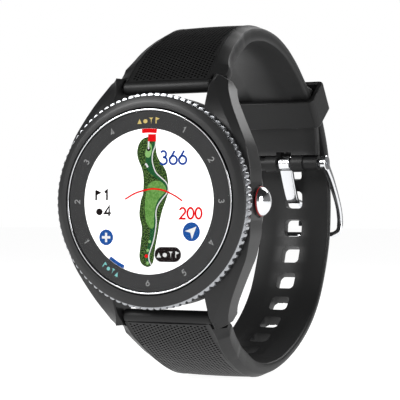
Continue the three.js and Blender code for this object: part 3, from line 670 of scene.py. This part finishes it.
def build_map():
    rough = Print("map_rough", turf("rough", (0.008, 0.024, 0.007), (0.11, 0.21, 0.045), 0.28, 0.46, 0.60))
    strip(rough, STRIP_LEFT, STRIP_RIGHT)
    rough.done()
    band = Print("map_band", turf("band", (0.010, 0.085, 0.026), (0.020, 0.115, 0.036), 0.5, 0.3, 0.7), 2)
    half = [0.75, 1.0, 1.35, 1.6, 1.75, 1.6, 1.35, 1.2, 1.3, 1.7, 2.1, 2.2, 1.9, 1.6, 1.5, 1.4, 1.25, 1.05,
            0.95, 0.85, 0.75, 0.65]
    path = smooth_line(PATH, len(half))
    outer = smooth_line([(x - h, z) for (x, z), h in zip(path, half)], 70)
    inner = smooth_line([(x + 0.12, z) for x, z in path], 70)
    band.fill([tuple(p) for p in outer] + [tuple(p) for p in inner[::-1]])
    band.done()
    fairway = Print("map_fairway", turf("fairway", (0.10, 0.27, 0.05), (0.19, 0.40, 0.10), 0.45, 0.35, 0.65),
                    3)
    fairway.fill(closed_curve(FAIRWAY, 60))
    fairway.done()
    green = Print("map_green", printed("putting_green", (0.27, 0.52, 0.17)), 3)
    green.fill(closed_curve(GREEN, 40))
    for x, z in ((0.5, -8.6), (0.0, -10.5), (0.0, -13.2)):
        green.disc(x, z, 0.33)
    green.done()
    white = Print("map_path", printed("path_white", (0.80, 0.81, 0.80)), 4)
    white.stroke(smooth_line(PATH, 80), 0.24)
    white.stroke([(-0.6, 8.1), (-0.3, 7.9), (0.05, 7.3)], 0.42)
    white.stroke([(0.23, 11.5), (0.23, 12.9)], 0.36)
    white.done()
    cup = Print("map_cup", printed("cup_black", (0.012, 0.008, 0.010)), 4)
    cup.disc(0.23, 11.25, 0.52, 0.5)
    cup.done()
    spot = Print("map_cup_spot", printed("cup_white", (0.9, 0.9, 0.9)), 5)
    spot.disc(0.23, 11.42, 0.2, 0.24)
    spot.done()
    red = Print("screen_red", printed("red", (0.84, 0.002, 0.006)), 5)
    red.fill([(0.1, 14.42), (2.02, 14.38), (2.02, 12.82), (0.1, 12.86)])
    red.disc(-0.3, -11.7, 0.4)
    red.stroke(smooth_line([(-5.5, 0.51), (-3.05, 1.75), (-0.61, 2.41), (1.35, 2.68), (3.81, 2.33),
                            (6.4, 1.25), (8.29, 0.09)], 40), 0.36)
    band_of_ring(red, -5.2, 8.4, 14.7, 15.62)
    write(red, ["2", "0", "0"], 10.25, -2.55, 2.28, 0.44, spacing=0.19, stretch=1.02)
    red.done()
    blue = Print("screen_blue", printed("blue", (0.004, 0.055, 0.34)), 5)
    write(blue, ["3", "6", "6"], 6.15, 9.3, 2.85, 0.45, spacing=0.15, stretch=1.02)
    blue.done()
    icons = Print("screen_icons", printed("icon_blue", (0.012, 0.090, 0.36)), 5)
    icons.disc(-10.2, -7.75, 1.72, count=40)
    icons.disc(10.45, -6.45, 2.02, count=40)
    band_of_ring(icons, 202.2, 217.2, 14.85, 15.6)
    icons.done()
    signs = Print("screen_signs", printed("sign_white", (0.92, 0.92, 0.92)), 6)
    signs.stroke([(-11.25, -7.75), (-9.15, -7.75)], 0.55)
    signs.stroke([(-10.2, -6.75), (-10.2, -8.8)], 0.55)
    signs.fill([(11.65, -5.35), (8.95, -6.3), (10.2, -6.65), (10.6, -8.0)])
    signs.done()
    black = Print("screen_black", printed("black", (0.010, 0.006, 0.006)), 5)
    write(black, ["flag", "1"], -11.2, 1.35, 2.15, 0.44, spacing=0.28, stretch=1.12)
    write(black, ["ball", "4"], -10.85, -2.05, 2.15, 0.44, spacing=0.24, stretch=1.12)
    x0, x1, z0, z1 = 1.72, 8.0, -12.9, -9.75
    r = (z1 - z0) / 2
    pill = arc(x1 - r, z0 + r, r, r, -90, 90, 14) + arc(x0 + r, z0 + r, r, r, 90, 270, 14)
    black.fill(pill)
    black.done()
    edge = Print("screen_pill_edge", printed("pill_white", (0.93, 0.93, 0.93)), 4)
    middle_x, middle_z = 4.86, -11.33
    edge.fill([(middle_x + (x - middle_x) * 1.05, middle_z + (z - middle_z) * 1.12) for x, z in pill])
    edge.done()
    words = Print("screen_pill_marks", printed("pill_text", (0.80, 0.80, 0.80)), 6)
    write(words, ["hill", "ball", "tee", "flag"], middle_x, middle_z, 1.3, 0.17, spacing=0.34, stretch=1.15)
    words.done()


def band_of_ring(ink, start, stop, inner, outer):
    """A bar that follows the screen's edge between two clock angles."""
    angles = np.radians(np.linspace(start, stop, 16))
    outline = [(outer * math.sin(a), outer * math.cos(a)) for a in angles]
    outline += [(inner * math.sin(a), inner * math.cos(a)) for a in angles[::-1]]
    ink.fill(outline)


# ------------------------------------------------------------------ straps
BEND_Y, BEND_Z, BEND_R = 40.3, 9.6, 22.9


def bend_arc(angles, height):
    r = BEND_R + height
    return [(BEND_Y + r * math.cos(math.radians(a)), BEND_Z + r * math.sin(math.radians(a))) for a in angles]


SHORT_OUTER = [(-3.4, 26.15), (-2.6, 27.0), (-0.2, 29.4), (2.3, 31.85), (5.0, 34.1), (7.1, 35.5),
               (9.8, 36.95), (13.2, 38.6), (17.8, 40.3), (23.4, 41.2), (29.6, 41.2), (36.0, 40.3),
               (42.3, 38.3), (47.6, 35.6), *bend_arc([62, 40, 20], 2.8), (65.5, 14.2), (65.3, 10.5)]
LONG_OUTER = [(-3.4, -26.2), (-2.6, -27.0), (-0.3, -29.05), (2.3, -31.2), (4.9, -33.05), (7.4, -34.6),
              (9.8, -35.95), (14.4, -38.1), (20.0, -39.9), (26.8, -40.6), (34.6, -39.9), (42.7, -38.0),
              (50.9, -34.8), (58.4, -30.2), (64.3, -24.3), (68.4, -17.1), (71.2, -9.5), (72.1, -2.0),
              (71.9, 5.0), (70.9, 11.4), (68.9, 17.0), *bend_arc([28, 40, 50], 2.8 + 0.3 + 2.6)]


class Strap:
    """A strap half: its outer line, and its sizes along that line, in mm from the lug end."""

    def __init__(self, points, side):
        self.side = side
        self.line = smooth_line(points, 900)
        self.run = run_along(self.line)
        self.length = self.run[-1]

    def at(self, distance):
        """Point, direction of run and outward normal at a distance along."""
        point, ahead, back = (
            np.array([np.interp(distance + shift, self.run, self.line[:, k]) for k in (0, 1)])
            for shift in (0.0, 0.4, -0.4))
        run = (ahead - back) / np.linalg.norm(ahead - back)
        return point, run, np.array([-run[1], run[0]]) * self.side

    def distance_at_height(self, z, start):
        i = np.searchsorted(self.run, start)
        rising = self.line[i, 1] < z
        while (self.line[i, 1] < z) == rising:
            i += 1
        return self.run[i]


def stepped(pairs):
    xs, ys = zip(*pairs)
    return lambda d: float(np.interp(d, xs, ys))


COLUMN_PITCH, FIRST_COLUMN, COLUMNS = 0.833, -9.3, 23
DOT_PITCH, FIRST_DOT, DOT_HALF, DOT_DEPTH = 0.86, 1.2, 0.24, 0.4


def strap_rings(strap, stop, half, thick, chamfer, rim_at, dots_stop, raised):
    """Cross-sections of a strap: dotted outer field, rim, chamfer, side and inner face with its raised band.

    Returns the rings and the set of (ring, place) of the dots' deepest points.
    """
    step = DOT_PITCH / 4
    rings, deep = [], set()
    places = [(FIRST_COLUMN + COLUMN_PITCH * k + side * DOT_HALF, k, side)
              for k in range(COLUMNS) for side in (-1, 0, 1)]
    for row in range(-3, int((stop - FIRST_DOT) / step)):
        distance = FIRST_DOT + row * step
        w, t, c, rim = half(distance), thick(distance), chamfer(distance), rim_at(distance)
        limit = rim - 0.55
        top = []
        for x, k, side in places:
            dot = (side == 0 and row >= 0 and row % 4 == 2 * (k % 2) and abs(x) < rim - 0.85
                   and distance < dots_stop)
            if abs(x) > limit:
                x = math.copysign(limit + 0.06 * (abs(x) - limit) / (9.6 - limit), x)
            if dot:
                deep.add((len(rings), len(top)))
            top.append((x, 0.25 * (1 - (x / w) ** 2) - (DOT_DEPTH if dot else 0.0)))
        edge = [(rim - 0.45, 0.0), (rim - 0.32, 0.11), (rim - 0.12, 0.15), (rim, 0.08), (w - 0.10, -c),
                (w, -c - 0.14), (w, -t + 0.45), (w - 0.16, -t + 0.14), (w - 0.5, -t)]
        inner = [(5.8, -t), (5.2, -t - raised(distance))]
        outline = top + edge + inner + [(-x, h) for x, h in inner[::-1]] + [(-x, h) for x, h in edge[::-1]]
        point, _, out = strap.at(distance)
        rings.append([(x, *(point + out * h)) for x, h in outline])
    return rings, deep


def dotted_skin(rings, deep):
    """The skin over a strap's rings, with the faces round each dot split to a point, and the dots' faces,
    which take a near-black painted shade.
    """
    vertices, faces = skin(rings)
    width = len(rings[0])
    made, shaded_pits = [], []
    for face in faces:
        corner = next((i for i, v in enumerate(face) if divmod(v, width) in deep), None)
        if corner is None or len(face) != 4:
            made.append(face)
        else:
            a, b, c, d = face[corner:] + face[:corner]
            shaded_pits += [len(made), len(made) + 1]
            made += [(a, b, c), (a, c, d)]
    return vertices, made, shaded_pits


ROLL_Z = 25.25


def roll_rings(side, radius=1.55, half=10.85, soft=0.6):
    """A bar with rounded ends, between the lugs."""
    ends = [(-half + soft * (1 - math.cos(a)), radius - soft * (1 - math.sin(a)))
            for a in (math.radians(q) for q in (0, 22, 45, 68, 90))]
    rings = []
    for x, r in ends + [(-x, r) for x, r in ends[::-1]]:
        rings.append([(x, LUG_BAR_Y + r * math.cos(a), ROLL_Z * side + r * math.sin(a)) for a in turns(48)])
    return rings


def rod_x(r, x0, x1, y, z, count=40):
    return skin([[(x, y + r * math.cos(a), z + r * math.sin(a)) for a in turns(count)] for x in (x0, x1)])


def finish_strap(piece, name, node):
    piece.name = piece.data.name = name
    piece.data.shade_smooth()
    piece.data.set_sharp_from_angle(angle=math.radians(50))
    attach(piece, "case")
    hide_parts(node)


def beside_tongue(side):
    """The space of the lugs and of the case wall, which the strap keeps clear of."""
    line = [(y + (0.35 if i > 1 else 0), z + 0.35) for i, (y, z) in enumerate(LUG_END)]
    outline = [(y, z * side) for y, z in [(-20, 0), *line, (3.55, 0)]]
    return [bare("flank", *prism_x(outline, *sorted((sign * 10.5, sign * 30)))) for sign in (1, -1)]


def build_short_strap():
    strap = Strap(SHORT_OUTER, 1)
    half = stepped([(4.5, 13.05), (5, 13.04), (6, 12.87), (7, 12.56), (8, 12.27), (9, 12.04), (10, 11.86),
                    (12, 11.6), (14, 11.37), (16, 11.22), (18, 11.0), (20, 10.8), (22, 10.5), (27, 10.25),
                    (54, 9.75), (78, 9.65), (84, 9.2), (90, 9.15)])
    rim = stepped([(6, 10.15), (7, 10.1), (8, 9.97), (9, 9.83), (10, 9.7), (12, 9.47), (14, 9.23),
                   (16, 8.94), (18, 8.72), (20, 8.6), (22, 8.46), (30, 8.4), (90, 8.4)])
    thick = stepped([(0, 3.0), (9, 4.2), (21, 4.2), (36, 3.4), (63, 2.8), (90, 2.8)])
    chamfer = stepped([(5, 1.2), (6, 0.8), (12, 0.8), (22, 0.7), (34, 0.5), (90, 0.5)])
    body = bare("strap", *dotted_skin(*strap_rings(
        strap, strap.length - 1.4, half, thick, chamfer, rim, 82.0,
        stepped([(9, 0.0), (14, 0.4), (72, 0.4), (78, 0.0)]))))
    combine(body, beside_tongue(1), "DIFFERENCE")
    lug_roll = bare("roll", *skin(roll_rings(1)))
    buckle_roll = [bare("roll", *rod_x(r, -x, x, BUCKLE_Y, BUCKLE_Z)) for r, x in ((1.8, 9.15), (2.25, 5.2))]
    combine(body, [lug_roll, *buckle_roll], "UNION")
    slot = bare("slot", *box_mesh(-2.1, 2.1, BUCKLE_Y - 5, BUCKLE_Y + 5, BUCKLE_Z - 5, BUCKLE_Z + 2.9))
    bars = [bare("bar", *rod_x(1.05, -20, 20, BUCKLE_Y, BUCKLE_Z)),
            bare("bar", *rod_x(1.0, -20, 20, LUG_BAR_Y, LUG_BAR_Z))]
    combine(body, [slot, *bars], "DIFFERENCE")
    finish_strap(body, "strap_upper", "strap_short")


HOLE_PITCH = 7.8
TANG_HOLE_Z = 1.0


def hole_cutter(strap, distance):
    point, run, out = strap.at(distance)
    rings = []
    for height, grow in ((-12, 0.0), (-3.4, 0.0), (-2.6, 0.0), (-0.25, 0.0), (0.35, 0.5), (3, 0.5)):
        ring = []
        for cx, cz, first in ((1.3, 1.15, 0), (-1.3, 1.15, 90), (-1.3, -1.15, 180), (1.3, -1.15, 270)):
            for a in turns(6, first, first + 90):
                r = 1.1 + grow * 0.5
                u, v = cx + r * math.cos(a), cz + r * math.sin(a)
                ring.append((u, *(point + run * v + out * height)))
        rings.append(ring)
    return bare("hole", *skin(rings))


def build_long_strap():
    strap = Strap(LONG_OUTER, -1)
    half = stepped([(4.5, 13.1), (5, 13.16), (6, 12.99), (7, 12.76), (8, 12.56), (9, 12.38), (10, 12.21),
                    (12, 11.96), (14, 11.75), (16, 11.35), (21, 11.0), (27, 10.75), (37, 10.4), (52, 10.1),
                    (78, 9.7), (140, 9.6)])
    rim = stepped([(5, 10.7), (6, 10.59), (7, 10.44), (8, 10.26), (9, 10.15), (10, 10.04), (12, 9.86),
                   (14, 9.69), (16, 9.64), (22, 9.4), (30, 9.0), (48, 8.6), (140, 8.5)])
    thick = stepped([(0, 3.0), (8.2, 4.2), (21.8, 4.2), (35.4, 3.0), (46, 2.2), (104, 2.2), (113, 2.6),
                     (140, 2.6)])
    chamfer = stepped([(5, 1.5), (6, 1.0), (8, 1.0), (14, 0.9), (24, 0.7), (40, 0.5), (140, 0.5)])

    def tip(distance):
        into = max(0.0, distance - (strap.length - 5)) / 5
        return math.sqrt(1 - 0.8 * into * into)

    body = bare("strap", *dotted_skin(*strap_rings(
        strap, strap.length, lambda d: half(d) * tip(d), thick, chamfer,
        lambda d: (rim(d) - 0.3) * tip(d) + 0.3, strap.length - 6,
        stepped([(10, 0.0), (16, 0.4), (104, 0.4), (110, 0.0)]))))
    combine(body, beside_tongue(-1), "DIFFERENCE")
    combine(body, [bare("roll", *skin(roll_rings(-1)))], "UNION")
    tang = strap.distance_at_height(TANG_HOLE_Z, strap.length * 0.5)
    holes = [hole_cutter(strap, tang + i * HOLE_PITCH) for i in range(-7, 3)]
    combine(body, holes + [bare("bar", *rod_x(1.0, -20, 20, LUG_BAR_Y, -LUG_BAR_Z))], "DIFFERENCE")
    finish_strap(body, "strap_lower", "strap_long")


# ------------------------------------------------------------------ keeper
KEEPER_TILT = math.radians(37)


def build_keeper():
    half, wall, length = 10.0, 1.25, 7.9
    inner = math.sqrt((BEND_R - 0.3) ** 2 - (length / 2) ** 2)
    outer = BEND_R + 2.8 + 0.3 + 2.6 + 1.2
    rings = []
    for z in (-length / 2, length / 2):
        for pad, soft in ((wall, 1.4), (0, 0.5)):
            ring = []
            for sx, sy, first in QUARTERS:
                x, y = sx * (half + pad - soft), (outer + pad - soft if sy > 0 else inner - pad + soft)
                ring += [(x + soft * math.cos(a), y + soft * math.sin(a), z)
                         for a in turns(7, first, first + 90)]
            rings.append(ring)
    rings = [rings[0], rings[2], rings[3], rings[1]]
    c, s = math.cos(KEEPER_TILT), math.sin(KEEPER_TILT)
    rings = [[(x, BEND_Y + y * c - z * s, BEND_Z + y * s + z * c) for x, y, z in r] for r in rings]
    keeper = add_mesh("keeper_loop", *skin(rings, closed_run=True), RUBBER, "keeper", "strap", ["keeper"])
    bevelled(keeper, 0.28, 3)


# ------------------------------------------------------------------ buckle
BUCKLE_Y, BUCKLE_Z = 64.3, 10.5


def swept(path, across, sizes, corner=0.35, rounds=5):
    """A bar of rounded rectangular section along 3-D points. across is its width direction at each point."""
    path, across, sizes = np.array(path), np.array(across), np.array(sizes)
    run = np.gradient(path, axis=0)
    run /= np.linalg.norm(run, axis=1)[:, None]
    rings = []
    for point, tangent, wide, (width, depth) in zip(path, run, across, sizes):
        wide = wide - tangent * np.dot(wide, tangent)
        wide /= np.linalg.norm(wide)
        deep = np.cross(tangent, wide)
        ring = []
        for sx, sy, first in QUARTERS:
            for a in turns(rounds, first, first + 90):
                u = sx * (width / 2 - corner) + corner * math.cos(a)
                v = sy * (depth / 2 - corner) + corner * math.sin(a)
                ring.append(tuple(point + wide * u + deep * v))
        rings.append(ring)
    return skin(rings)


ARM_LINE = [(64.3, 10.5), (68.6, 6.6), (72.1, 2.3), (74.5, -1.5), (75.3, -4.4), (75.0, -6.9), (73.9, -8.8)]


def build_buckle_frame():
    line = smooth_line(ARM_LINE, 120)
    run = run_along(line)
    total = run[-1]
    mid, corner = 10.78, 2.3
    half_path = []
    for d in np.linspace(0.0, total - 0.7 - corner, 46):
        half_path.append((mid, d))
    for a in turns(12, 0, 90)[1:]:
        half_path.append((mid - corner + corner * math.cos(a), total - 0.7 - corner + corner * math.sin(a)))
    whole = half_path + [(-x, d) for x, d in half_path[::-1]]
    path, across, sizes = [], [], []
    for i, (x, d) in enumerate(whole):
        y, z = (np.interp(d, run, line[:, k]) for k in (0, 1))
        path.append((x, y, z))
        ahead = [np.interp(d + 0.3, run, line[:, k]) - np.interp(d - 0.3, run, line[:, k]) for k in (0, 1)]
        normal = np.array([0.0, -ahead[1], ahead[0]])
        across.append(normal / np.linalg.norm(normal))
        thickness = float(np.interp(d, [0, 3, 8, 12, total], [2.6, 1.9, 1.6, 1.45, 1.4]))
        sizes.append((thickness, 1.42))
    frame_bar = bare("bar", *swept(path, across, sizes))
    eyes = []
    for sign in (1, -1):
        x0, x1 = sorted((sign * 10.05, sign * 11.5))
        profile = [(0.01, x0), (1.75, x0), (1.9, x0 + 0.15), (1.9, x1 - 0.15), (1.75, x1), (0.01, x1)]
        eyes.append(bare("eye", *turned(profile, 48, "X", (0, BUCKLE_Y, BUCKLE_Z))))
    combine(frame_bar, eyes, "UNION")
    bore = bare("bore", *rod_x(0.65, -12, 12, BUCKLE_Y, BUCKLE_Z))
    combine(frame_bar, [bore], "DIFFERENCE")
    add_mesh("buckle_bow", *as_lists(frame_bar), CHROME, "buckle_frame", "polished_metal", ["buckle_frame"],
             sharp=35, weighted=False)


TANG_LINE = [(64.8, 8.9), (66.9, 4.6), (69.0, 1.2), (71.5, 0.5), (73.8, -0.3), (75.6, -1.8), (76.6, -3.8),
             (76.6, -5.8)]


def build_tang():
    line = smooth_line(TANG_LINE, 60)
    path = [(0.0, y, z) for y, z in line]
    across = [(1.0, 0.0, 0.0)] * len(path)
    width = np.linspace(3.4, 2.9, len(path))
    depth = np.interp(np.linspace(0, 1, len(path)), [0, 0.8, 1], [1.2, 1.1, 0.8])
    bar = bare("tang", *swept(path, across, list(zip(width, depth)), 0.3))
    profile = [(0.01, -1.5), (1.55, -1.5), (1.7, -1.35), (1.7, 1.35), (1.55, 1.5), (0.01, 1.5)]
    eye = bare("eye", *turned(profile, 48, "X", (0, BUCKLE_Y, BUCKLE_Z)))
    combine(bar, [eye], "UNION")
    combine(bar, [bare("bore", *rod_x(1.0, -5, 5, BUCKLE_Y, BUCKLE_Z))], "DIFFERENCE")
    add_mesh("buckle_pin", *as_lists(bar), CHROME, "buckle_tang", "polished_metal", ["buckle_tang"],
             sharp=35, weighted=False)


# ------------------------------------------------------------------ button
def build_button():
    dome = [(0.01, 1.70), (0.5, 1.67), (1.0, 1.59), (1.5, 1.44), (2.0, 1.21), (2.4, 0.95), (2.75, 0.62),
            (2.95, 0.35), (3.07, 0.08), (3.08, -0.02), (3.0, -0.07), (1.2, -0.07), (1.2, 0.35), (0.01, 0.35)]
    profile = [(r, BUTTON_FACE_X + h) for r, h in dome]
    add_mesh("button_dome", *turned(profile, 72, "X", (0, BUTTON_Y, 0)), CHROME, "button", "polished_metal",
             ["button_cap"], sharp=45)
    ring = [(r, BUTTON_FACE_X - back) for r, back in
            ((2.4, 0.42), (3.12, 0.42), (3.2, 0.34), (3.2, 0.16), (3.12, 0.1), (2.4, 0.1))]
    add_mesh("button_ring", *turned(ring, 72, "X", (0, BUTTON_Y, 0)), RED, "button", "accent",
             ["button_accent_ring"], sharp=45)


def build_spring():
    """The return spring between the case's seat and the cap, built at one fixed length; in the watch the
    button squashes it as it goes in.
    """
    wire, coil, rounds, start, stop = 0.09, 1.9, 2.5, 22.6, 23.15
    rings = []
    for share in np.linspace(0, 1, 101):
        a = 2 * math.pi * rounds * share
        along = start + (stop - start) * share
        rings.append([(along + wire * math.cos(b), BUTTON_Y + (coil + wire * math.sin(b)) * math.cos(a),
                       (coil + wire * math.sin(b)) * math.sin(a)) for b in turns(8)])
    spring = add_mesh("return_spring", *skin(rings), STEEL, "case", "steel", ["button_spring"], sharp=60,
                      weighted=False)
    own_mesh(spring)


# ------------------------------------------------------------------ CAD nodes kept as they are
def paint_kept_nodes():
    plain = {
        "display_holder": BLACK, "circuit_board": BOARD, "chassis": BLACK, "battery": FOIL,
        "satellite_antenna": CERAMIC, "tactile_switch": BLACK, "display_ribbon": FILM, "case_back": BACK,
        "back_seal": SEAL, "button_seal": SEAL,
    }
    for name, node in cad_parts.items():
        if node.hide_render:
            continue
        material = plain.get(name, GOLD if name.startswith("charge_contact") else STEEL)
        node.data.materials.clear()
        node.data.materials.append(material)
        bevelled(node, 0.08, 2, 40)


# ------------------------------------------------------------------ stage
def build_stage():
    floor_material = surface("floor_white", (0.36, 0.36, 0.36), 0.9, mottle=0.005, bump=0.0, specular=0.0,
                             glow=2.65)
    size, height = 4000, -41.0
    corners = [(-size, -size), (size, -size), (size, size), (-size, size)]
    mesh = new_mesh("floor", [(x, y, height) for x, y in corners], [(0, 1, 2, 3)])
    mesh.materials.append(floor_material)
    floor = new_object("floor", mesh)
    build_world()
    for name, place, size, power in (
        ("key", (-0.30, -0.45, 0.30), 0.30, 3.0),
        ("side", (0.50, -0.16, 0.12), 0.25, 1.3),
        ("back", (0.10, 0.45, 0.35), 0.30, 1.2),
    ):
        light = bpy.data.lights.new(name, "AREA")
        light.size = size
        light.energy = power
        lamp = new_object(name, light)
        lamp.location = place
        aim(lamp, Vector((0, 0.03, 0)) - Vector(place))


def build_world():
    """A white wall behind the watch, with dim walls and a dim ceiling elsewhere."""
    world = bpy.data.worlds.new("studio")
    bpy.context.scene.world = world
    world.use_nodes = True
    nodes, links = world.node_tree.nodes, world.node_tree.links
    direction = nodes.new("ShaderNodeTexCoord")
    split = nodes.new("ShaderNodeSeparateXYZ")
    links.new(direction.outputs["Generated"], split.inputs["Vector"])
    behind = nodes.new("ShaderNodeVectorMath")
    behind.operation = "DOT_PRODUCT"
    behind.inputs[1].default_value = (-0.439, 0.898, 0.0)
    links.new(direction.outputs["Generated"], behind.inputs[0])
    white = (1, 1, 1, 1)
    wall = ramp_between(nodes, links, behind.outputs["Value"], (0.20, 0.20, 0.20, 1), white, 0.72, 0.93)
    ceiling = ramp_between(nodes, links, split.outputs["Z"], white, (0.14, 0.14, 0.14, 1), 0.20, 0.45)
    both = nodes.new("ShaderNodeVectorMath")
    both.operation = "MULTIPLY"
    links.new(wall, both.inputs[0])
    links.new(ceiling, both.inputs[1])
    links.new(both.outputs["Vector"], nodes["Background"].inputs["Color"])
    nodes["Background"].inputs["Strength"].default_value = 1.0


def build_camera():
    azimuth, elevation = math.radians(26.06), math.radians(-0.61)
    back = Vector((math.sin(azimuth) * math.cos(elevation), -math.cos(azimuth) * math.cos(elevation),
                   math.sin(elevation)))
    data = bpy.data.cameras.new("camera")
    data.sensor_width = 36.0
    data.lens = 36.0 * 3.76
    data.clip_start, data.clip_end = 0.01, 20.0
    camera = new_object("camera", data)
    camera.location = Vector((6.6, 0.0, 0.387)) * MM + back * 330 * MM
    aim(camera, -back)
    bpy.context.scene.camera = camera


build_camera()
build_stage()
build_case()
build_bezel()
build_coin_edge()
build_trim()
build_glass()
build_dial()
build_numbers()
build_map()
build_short_strap()
build_long_strap()
build_keeper()
build_buckle_frame()
build_tang()
build_button()
build_spring()
paint_kept_nodes()
bpy.context.scene.view_settings.view_transform = "Standard"
